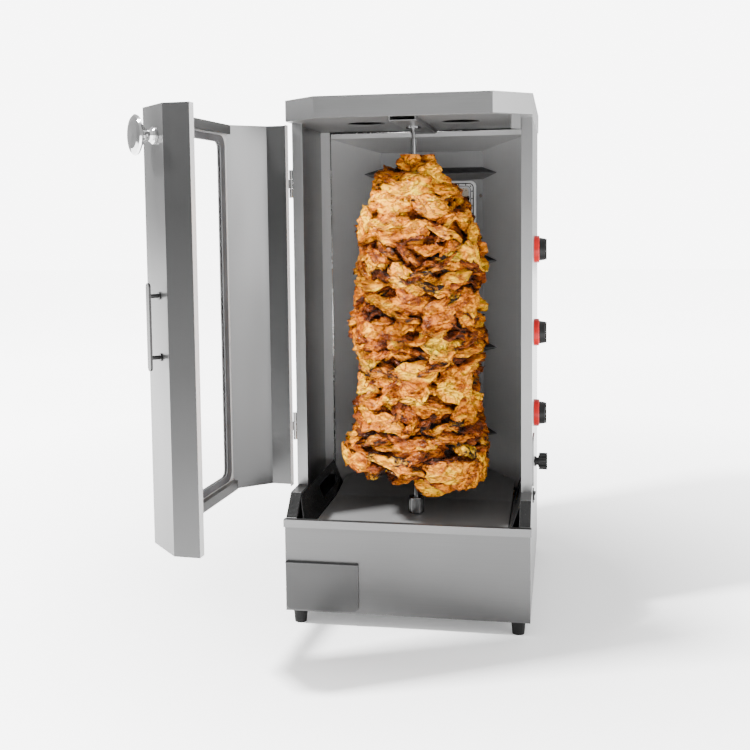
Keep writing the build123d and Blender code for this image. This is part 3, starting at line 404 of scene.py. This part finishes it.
def meat_slices():
    """Ruffled slices in rows round the spit, with the tone and the charring of each point; points deep in
    the folds are darkened in both as painted shade.
    """
    rng = random.Random(41)
    verts, faces, tones, char_and_shade_values = [], [], [], []

    def add_slice(theta, t, half_len, half_deep, half_thick, tilt, droop, ruffle, inset,
                  tone, char_and_shade, flap=False):
        z = MEAT_Z0 + MEAT_H * meat_height(theta, t)
        rad = meat_radius(theta, t)
        base = len(verts)
        nu, nv = SLICE_AROUND, SLICE_UP
        seed = Vector((rng.uniform(-50, 50), rng.uniform(-50, 50), rng.uniform(-50, 50)))
        waves = rng.uniform(2.0, 4.5)
        phase = rng.uniform(0, 6.28)
        lean = math.tan(tilt)
        for j in range(nv + 1):
            lat = -math.pi / 2 + math.pi * j / nv
            for i in range(nu):
                lon = 2 * math.pi * i / nu
                cl = math.copysign(abs(math.cos(lat)) ** 0.75, math.cos(lat))
                u = cl * math.cos(lon)
                w = cl * math.sin(lon)
                v = math.copysign(abs(math.sin(lat)) ** 0.8, math.sin(lat))
                p = Vector((u * 1.7, w * 1.7, v * 1.7)) + seed
                n1 = noise.noise(p)
                n2 = noise.noise(p * 2.7)
                n3 = noise.noise(p * 6.0)
                grow = 1 + 0.30 * n1 + 0.12 * n2
                along = u * half_len * grow
                deep = w * half_deep * (1 + 0.30 * n2) + 0.0030 * n3
                thick = v * half_thick * (1 + 0.35 * n2 + 0.30 * n3)
                if flap:
                    # A flap lies against the column instead of standing out from it.
                    deep, thick = v * half_thick * (1 + 0.3 * n2) + 0.0012 * n3, w * half_deep * grow
                out = max(0.0, w if not flap else 0.4)
                dz = (thick + lean * along - droop * out * out
                      + ruffle * math.sin(waves * u * 1.6 + phase) * out)
                dz += 0.0035 * n1 + 0.0012 * n3
                r = rad - inset + deep - 0.10 * along * along / max(rad, 0.03) + 0.0030 * n2
                ang = theta + along / max(rad, 0.045)
                r = max(r, SPIT_CLEAR)
                px, py = r * math.cos(ang), r * math.sin(ang)
                spot = Vector((px, py, (z + dz) * 1.5))
                r += 0.0045 * noise.noise(spot * 48) + 0.0022 * noise.noise(spot * 125)
                dz += 0.0040 * noise.noise(spot * 52 + seed) + 0.0016 * noise.noise(spot * 150)
                r = max(r, SPIT_CLEAR)
                if r > REACH_SOFT:
                    room = REACH_MAX - REACH_SOFT
                    r = REACH_SOFT + room * (1 - math.exp((REACH_SOFT - r) / room))
                verts.append((SPIT_X + r * math.cos(ang), SPIT_Y + r * math.sin(ang),
                              min(max(z + dz, MEAT_Z0 - 0.004), MEAT_Z1 + 0.006)))
                # Painted shade in the folds: points lying deeper than the slice's ring are made darker and
                # more charred.
                crease_shade = min(1.0, max(0.0, (rad - 0.004 - r) / 0.016))
                edge = max(0.0, n2) * (0.5 + abs(u))
                tones.append(min(1.0, max(0.0, tone + 0.34 * n1 + 0.18 * n2 + 0.45 * crease_shade)))
                char_and_shade_values.append(min(1.0, max(0.0, char_and_shade * (0.45 + 1.3 * edge) + 0.65 * crease_shade * crease_shade)))
        add_grid(faces, base, nu, nv)

    for k in range(SLICE_ROWS):
        t = (k + 0.5) / SLICE_ROWS
        ring = meat_radius(0.0, t) + 0.001
        count = max(4, int(round(2 * math.pi * ring / SLICE_PITCH)))
        start = rng.uniform(0, 6.28)
        for m in range(count):
            theta = start + 2 * math.pi * (m + rng.uniform(-0.3, 0.3)) / count
            tt = t + rng.uniform(-0.35, 0.35) / SLICE_ROWS
            kind = rng.random()
            tone = rng.betavariate(1.6, 1.7) * (0.55 if t > TOP_SHARE else 1.0)
            char_and_shade = 0.0 if rng.random() < (0.95 if t > TOP_SHARE else 0.70) else rng.uniform(0.35, 1.0)
            if kind < 0.62:
                add_slice(theta, tt, rng.uniform(0.030, 0.062), rng.uniform(0.022, 0.034),
                          rng.uniform(0.0048, 0.0095), rng.uniform(-0.35, 0.35), rng.uniform(0.0, 0.014),
                          rng.uniform(0.002, 0.0075), rng.uniform(0.018, 0.036), tone, char_and_shade)
            elif kind < 0.90:
                add_slice(theta, tt, rng.uniform(0.026, 0.050), rng.uniform(0.013, 0.026),
                          rng.uniform(0.0045, 0.008), rng.uniform(-0.35, 0.35), 0.004,
                          rng.uniform(0.001, 0.004), rng.uniform(0.004, 0.011),
                          tone * 0.8, char_and_shade * 0.6, flap=True)
            else:
                add_slice(theta, tt, rng.uniform(0.014, 0.026), rng.uniform(0.016, 0.026),
                          rng.uniform(0.006, 0.011), rng.uniform(-0.8, 0.8), 0.006,
                          0.003, rng.uniform(0.010, 0.018), tone, min(1.0, char_and_shade + 0.25))
    return roast_mesh("roast_slices", verts, faces, tones, char_and_shade_values)


def meat_core():
    """Closed body behind the slices."""
    nu, nv = CORE_AROUND, CORE_UP
    verts, faces, tones, char_and_shade_values = [], [], [], []
    for j in range(nv + 1):
        t = j / nv
        for i in range(nu):
            th = 2 * math.pi * i / nu
            r = max(0.008, meat_radius(th, t) - CORE_INSET)
            p = Vector((math.cos(th) * 4, math.sin(th) * 4, t * 16))
            r += 0.006 * noise.noise(p)
            z = MEAT_Z0 + 0.006 + (MEAT_H - 0.012) * meat_height(th, t)
            verts.append((SPIT_X + r * math.cos(th), SPIT_Y + r * math.sin(th), z))
            tones.append(0.75)
            char_and_shade_values.append(0.25)
    add_grid(faces, 0, nu, nv)
    faces.append(tuple(range(nu - 1, -1, -1)))
    faces.append(tuple(nv * nu + i for i in range(nu)))
    return roast_mesh("roast_core", verts, faces, tones, char_and_shade_values)


def attribute(tree, name):
    a = tree.nodes.new("ShaderNodeAttribute")
    a.attribute_name = name
    return a.outputs["Fac"]


def meat_material():
    """Roasted meat: slice tone, fibres, painted shade in the folds and charred spots."""
    mat, tree, bsdf = new_material("roast_meat")
    flat = coords(tree, (1, 1, 1.6))
    patch = noise_tex(tree, flat, 26.0, 7.0, 0.66, 0.9)
    fibre = noise_tex(tree, coords(tree, (1, 1, 1.6)), 90.0, 5.0, 0.62, 0.8)
    spots = noise_tex(tree, flat, 34.0, 6.0, 0.7, 1.2)
    tone = attribute(tree, "tone")
    char_and_shade = attribute(tree, "char_and_shade")
    mixed = math_node(tree, "ADD", math_node(tree, "MULTIPLY", tone, 0.48),
                      math_node(tree, "MULTIPLY", patch, 0.72))
    base = ramp(tree, mixed, [(0.20, (0.98, 0.74, 0.008)), (0.34, (0.97, 0.56, 0.001)),
                              (0.48, (0.90, 0.35, 0.001)), (0.61, (0.60, 0.165, 0.001)),
                              (0.75, (0.22, 0.042, 0.001)), (0.92, (0.030, 0.007, 0.001))])
    fine = ramp(tree, fibre, [(0.30, (0.74, 0.62, 0.50)), (0.58, (1.0, 1.0, 1.0))])
    base = mix_rgb(tree, 1.0, base, fine, "MULTIPLY")
    fold = noise_tex(tree, coords(tree, (1, 1, 1.9)), 27.0, 6.0, 0.55, 1.8)
    # Painted shade: thin dark lines along the grooves that the bump cuts on the same fold pattern.
    crease_shade_lines = ramp(tree, fold, [(0.40, grey(1.0)), (0.470, (0.45, 0.25, 0.15)), (0.495, (0.10, 0.04, 0.02)),
                             (0.52, (0.55, 0.35, 0.22)), (0.58, grey(1.0))])
    base = mix_rgb(tree, 0.60, base, crease_shade_lines, "MULTIPLY")
    # Near-black charring from the slices' charring and crease shade, together with noise spots.
    burn_and_shade = math_node(tree, "ADD", math_node(tree, "MULTIPLY", char_and_shade, 0.42), spots)
    mask = ramp(tree, burn_and_shade, [(0.62, grey(0.0)), (0.80, grey(1.0))])
    base = mix_rgb(tree, mask, base, (0.010, 0.003, 0.0015))
    tree.links.new(base, bsdf.inputs["Base Color"])
    tree.links.new(ramp(tree, fibre, [(0.3, grey(0.18)), (0.7, grey(0.42))]), bsdf.inputs["Roughness"])
    bsdf.inputs["Subsurface Weight"].default_value = 0.03
    bsdf.inputs["Subsurface Radius"].default_value = (0.006, 0.002, 0.0006)
    bsdf.inputs["Subsurface Scale"].default_value = 1.0
    bsdf.inputs["Specular IOR Level"].default_value = 0.20
    height = math_node(tree, "ADD", fibre, math_node(tree, "MULTIPLY", spots, 1.5))
    cut = ramp(tree, fold, [(0.44, grey(1.0)), (0.495, grey(0.0)), (0.55, grey(1.0))])
    height = math_node(tree, "ADD", height, math_node(tree, "MULTIPLY", cut, 0.8))
    bump(tree, bsdf, height, 0.9, 0.005)
    return mat


MEAT = meat_material()
roast = bpy.data.objects.new("roast_slices", meat_slices())
core = bpy.data.objects.new("roast_core", meat_core())
for ob in (roast, core):
    bpy.context.scene.collection.objects.link(ob)
    ob.data.materials.append(MEAT)
    for p in ob.data.polygons:
        p.use_smooth = True
    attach(ob, "spit")
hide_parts("meat_stack")


# ---------------------------------------------------------------------------
# Hem of the burner box, seams and spot welds of the burner frames
# ---------------------------------------------------------------------------
WIRE_SIDES = 10
WELD_SIDES = 8


def wire(name, pts, radius, mat):
    """Round wire along straight runs, one closed run between each two points."""
    verts, faces = [], []
    n = WIRE_SIDES
    for p, q in zip(pts, pts[1:]):
        a, b = Vector(p), Vector(q)
        d = (b - a).normalized()
        u = d.cross(Vector((0, 1, 0.2))).normalized()
        v = d.cross(u)
        base = len(verts)
        for end in (a, b):
            for i in range(n):
                ang = 2 * math.pi * i / n
                verts.append(tuple(end + (u * math.cos(ang) + v * math.sin(ang)) * radius))
        for i in range(n):
            k = (i + 1) % n
            faces.append((base + i, base + k, base + n + k, base + n + i))
        faces.append(tuple(base + i for i in range(n - 1, -1, -1)))
        faces.append(tuple(base + n + i for i in range(n)))
    me = bpy.data.meshes.new(name)
    me.from_pydata(verts, [], faces)
    ob = bpy.data.objects.new(name, me)
    bpy.context.scene.collection.objects.link(ob)
    me.materials.append(mat)
    for p in me.polygons:
        p.use_smooth = len(p.vertices) == 4
    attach(ob, "cabinet")
    return ob


flange_lo = Vector(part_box("burner_box_flanges")[0])
roof_hi = Vector(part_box("burner_box_roof")[1])
HEM_R = 0.0015
hem_y = flange_lo.y - 0.0012
hem_x = 0.2005
wire("throat_hem", [(-hem_x, hem_y, flange_lo.z + 0.012), (-hem_x, hem_y, roof_hi.z),
                    (hem_x * 0.55, hem_y, roof_hi.z)], HEM_R, HEM)

# Pressed seam and spot welds round each burner frame.
SEAM = steel("seam_dark", 0.02, 0.5, "z", metal=0.2, spread=0.004)
frames_lo, frames_hi = (Vector(c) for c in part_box("burner_frames"))
BURNER_COUNT = 3
FRAME_HALF = (frames_hi.x - frames_lo.x) / 2
FRAME_HIGH = 0.154
BURNER_PITCH = (frames_hi.z - frames_lo.z - FRAME_HIGH) / (BURNER_COUNT - 1)
seam_y = frames_lo.y - 0.0003
WELD_R, WELD_HIGH, WELD_SUNK, WELD_STEP = 0.0016, 0.0007, 0.0002, 0.014


def rounded_loop(cx, cz, hx, hz, r, y, steps=6):
    """Closed loop of points: a rectangle with round corners, facing the front."""
    pts = []
    for qx, qz, a0 in ((1, 1, 0), (-1, 1, 90), (-1, -1, 180), (1, -1, 270)):
        for k in range(steps + 1):
            a = math.radians(a0 + 90 * k / steps)
            pts.append((cx + qx * (hx - r) + r * math.cos(a), y, cz + qz * (hz - r) + r * math.sin(a)))
    return pts + pts[:1]


mid_x = (frames_lo.x + frames_hi.x) / 2
for k in range(BURNER_COUNT):
    mid_z = frames_lo.z + FRAME_HIGH / 2 + BURNER_PITCH * k
    for n, (inset, thick) in enumerate(((0.006, 0.0011), (0.0115, 0.0007))):
        wire("frame_seam_%d_%d" % (k + 1, n + 1),
             rounded_loop(mid_x, mid_z, FRAME_HALF - inset, FRAME_HIGH / 2 - inset, 0.009, seam_y),
             thick, SEAM)
    verts, faces = [], []
    ring = rounded_loop(mid_x, mid_z, FRAME_HALF - 0.0088, FRAME_HIGH / 2 - 0.0088, 0.006, seam_y, 1)
    for p, q in zip(ring, ring[1:]):
        a, b = Vector(p), Vector(q)
        count = max(1, int((b - a).length / WELD_STEP))
        for m in range(count):
            c = a.lerp(b, (m + 0.5) / count)
            base = len(verts)
            verts.append((c.x, c.y - WELD_HIGH, c.z))
            for i in range(WELD_SIDES):
                ang = 2 * math.pi * i / WELD_SIDES
                verts.append((c.x + WELD_R * math.cos(ang), c.y + WELD_SUNK, c.z + WELD_R * math.sin(ang)))
            for i in range(WELD_SIDES):
                faces.append((base, base + 1 + (i + 1) % WELD_SIDES, base + 1 + i))
    me = bpy.data.meshes.new("spot_welds")
    me.from_pydata(verts, [], faces)
    me.materials.append(SEAM)
    ob = bpy.data.objects.new("spot_welds_%d" % (k + 1), me)
    bpy.context.scene.collection.objects.link(ob)
    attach(ob, "cabinet")


# ---------------------------------------------------------------------------
# Camera
# ---------------------------------------------------------------------------
CAM_YAW, CAM_PITCH, CAM_ROLL = math.radians(10.18), math.radians(4.65), math.radians(-0.64)
CAM_PLACE = (0.27356, -1.83907 - 0.260, 0.7539)
SENSOR = 36.0
IMAGE = 750
FOCAL_PX = 1055.89
CENTRE_X, CENTRE_Y = 371.54, 300
fwd = Vector((-math.sin(CAM_YAW) * math.cos(CAM_PITCH),
              math.cos(CAM_YAW) * math.cos(CAM_PITCH), -math.sin(CAM_PITCH)))
right = Vector((math.cos(CAM_YAW), math.sin(CAM_YAW), 0))
up = right.cross(fwd)
r2 = right * math.cos(CAM_ROLL) + up * math.sin(CAM_ROLL)
u2 = -right * math.sin(CAM_ROLL) + up * math.cos(CAM_ROLL)
cam_data = bpy.data.cameras.new("camera")
cam = bpy.data.objects.new("camera", cam_data)
bpy.context.scene.collection.objects.link(cam)
rot = Matrix((r2, u2, -fwd)).transposed().to_4x4()
cam.matrix_world = Matrix.Translation(CAM_PLACE) @ rot
cam_data.sensor_width = SENSOR
cam_data.lens = FOCAL_PX / IMAGE * SENSOR
cam_data.shift_x = (IMAGE / 2 - CENTRE_X) / IMAGE
cam_data.shift_y = (CENTRE_Y - IMAGE / 2) / IMAGE
bpy.context.scene.camera = cam

# ---------------------------------------------------------------------------
# Floor, world and lights
# ---------------------------------------------------------------------------
LIGHT_BASE, LIGHT_LEAST = 1.15, 0.5
LIGHT_RIGHT, LIGHT_ABOVE, LIGHT_BEHIND = 0.6, 0.5, 0.15
BACKDROP = 7.5
FLOOR_HALF = 12.0
FLOOR_GLOW = 5.6

world = bpy.data.worlds.new("studio")
world.use_nodes = True
wt = world.node_tree
wt.nodes.clear()
w_out = wt.nodes.new("ShaderNodeOutputWorld")
w_bg = wt.nodes.new("ShaderNodeBackground")
w_tc = wt.nodes.new("ShaderNodeTexCoord")
w_xyz = wt.nodes.new("ShaderNodeSeparateXYZ")
wt.links.new(w_tc.outputs["Generated"], w_xyz.inputs[0])
# Brighter from the right and from above, dimmer from the front. The backdrop itself
# is paler than the light that it gives, and also through the window.
side = math_node(wt, "MULTIPLY", w_xyz.outputs[0], LIGHT_RIGHT)
high = math_node(wt, "MULTIPLY", w_xyz.outputs[2], LIGHT_ABOVE)
deep = math_node(wt, "MULTIPLY", w_xyz.outputs[1], LIGHT_BEHIND)
total = math_node(wt, "ADD", math_node(wt, "ADD", side, high), math_node(wt, "ADD", deep, LIGHT_BASE))
total = math_node(wt, "MAXIMUM", total, LIGHT_LEAST)
w_path = wt.nodes.new("ShaderNodeLightPath")
w_mix = wt.nodes.new("ShaderNodeMix")
w_mix.data_type = "FLOAT"
seen = math_node(wt, "MAXIMUM", w_path.outputs["Is Camera Ray"], w_path.outputs["Is Transmission Ray"])
wt.links.new(seen, w_mix.inputs[0])
wt.links.new(total, w_mix.inputs[2])
w_mix.inputs[3].default_value = BACKDROP
wt.links.new(w_mix.outputs[0], w_bg.inputs["Strength"])
w_bg.inputs["Color"].default_value = (1, 1, 1, 1)
wt.links.new(w_bg.outputs[0], w_out.inputs[0])
bpy.context.scene.world = world

floor_me = bpy.data.meshes.new("floor")
floor_me.from_pydata([(-FLOOR_HALF, -FLOOR_HALF, 0), (FLOOR_HALF, -FLOOR_HALF, 0),
                      (FLOOR_HALF, FLOOR_HALF, 0), (-FLOOR_HALF, FLOOR_HALF, 0)], [], [(0, 1, 2, 3)])
floor = bpy.data.objects.new("floor", floor_me)
bpy.context.scene.collection.objects.link(floor)
floor_mat, floor_tree, floor_bsdf = new_material("floor_pale")
floor_noise = noise_tex(floor_tree, coords(floor_tree), 3.0)
floor_tone = ramp(floor_tree, floor_noise, [(0.3, grey(0.88)), (0.7, grey(0.90))])
floor_tree.links.new(floor_tone, floor_bsdf.inputs["Base Color"])
floor_bsdf.inputs["Roughness"].default_value = 0.9
# The floor brightens away from the oven and runs into the backdrop with no line.
f_tc = floor_tree.nodes.new("ShaderNodeTexCoord")
f_len = floor_tree.nodes.new("ShaderNodeVectorMath")
f_len.operation = "LENGTH"
floor_tree.links.new(f_tc.outputs["Object"], f_len.inputs[0])
far = ramp(floor_tree, math_node(floor_tree, "MULTIPLY", f_len.outputs["Value"], 0.25),
           [(0.10, grey(0.04)), (0.22, grey(0.35)), (0.50, grey(0.79)), (0.95, grey(1.0))])
floor_tree.links.new(far, floor_bsdf.inputs["Emission Color"])
floor_bsdf.inputs["Emission Strength"].default_value = FLOOR_GLOW
floor_me.materials.append(floor_mat)


def area(name, loc, target, size, power):
    ld = bpy.data.lights.new(name, "AREA")
    ld.shape = "RECTANGLE"
    ld.size = size
    ld.size_y = size
    ld.energy = power
    ob = bpy.data.objects.new(name, ld)
    bpy.context.scene.collection.objects.link(ob)
    ob.location = loc
    d = Vector(target) - Vector(loc)
    ob.rotation_euler = d.to_track_quat("-Z", "Y").to_euler()


area("key", (-2.5, -1.6, 3.2), (0, 0, 0.3), 0.40, 760)
area("fill_right", (2.6, -1.4, 1.4), (0, 0, 0.5), 1.4, 30)
